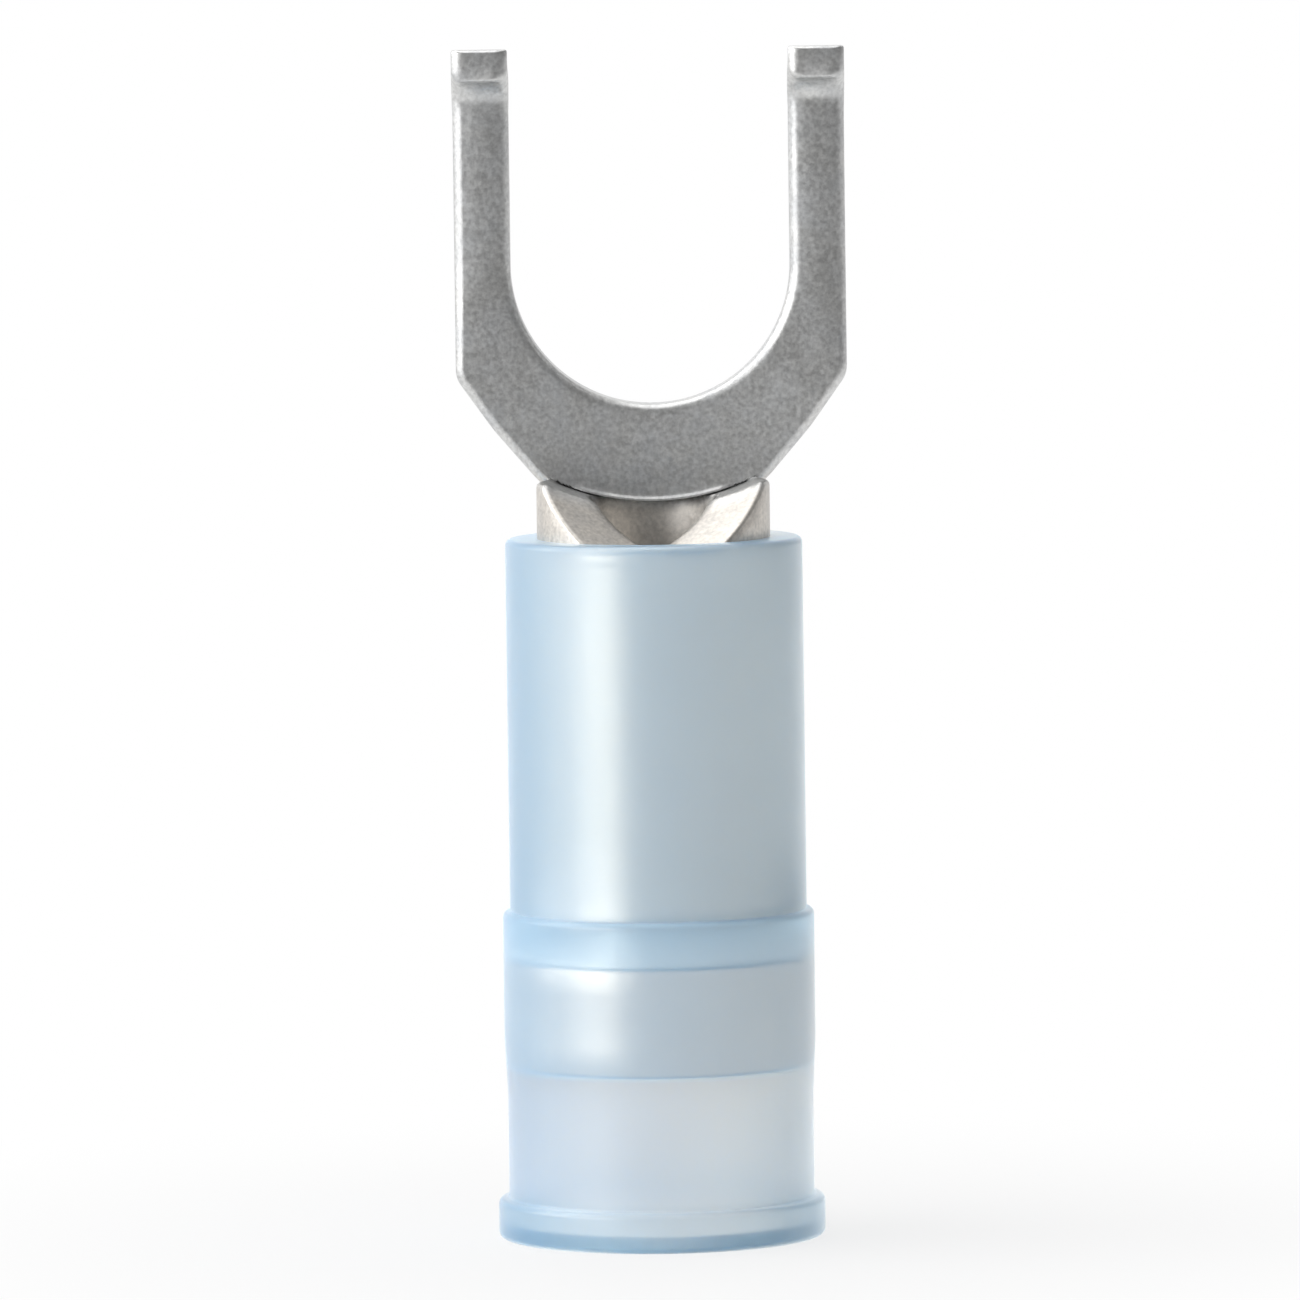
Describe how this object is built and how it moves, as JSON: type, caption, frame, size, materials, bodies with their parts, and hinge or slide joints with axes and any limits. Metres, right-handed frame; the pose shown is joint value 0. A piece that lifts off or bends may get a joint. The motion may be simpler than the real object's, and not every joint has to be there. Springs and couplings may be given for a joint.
{
  "type": "fork terminal",
  "caption": "Insulated fork terminal for a screw: flat metal fork with turned-up tips on a rolled wire barrel, in a stepped translucent blue nylon sleeve.",
  "frame": {"origin": "middle of the round face where the wire goes in, on which the terminal stands", "axes": "+Z along the wire barrel from the wire entry towards the fork's tips, +X across the fork, -Y towards the side that the tips are turned up to"},
  "size_m": [0.0072, 0.0058, 0.0212],
  "materials": {
    "tinned_fork": "tin plating on copper, dull silver with a fine grain",
    "tinned_sleeve": "smooth tin plating on copper",
    "blue_nylon": "moulded, pale blue, translucent"
  },
  "bodies": {
    "root": {"fork_terminal": "tinned_fork", "grip_sleeve": "tinned_sleeve", "insulating_sleeve": "blue_nylon"}
  },
  "joints": []
}
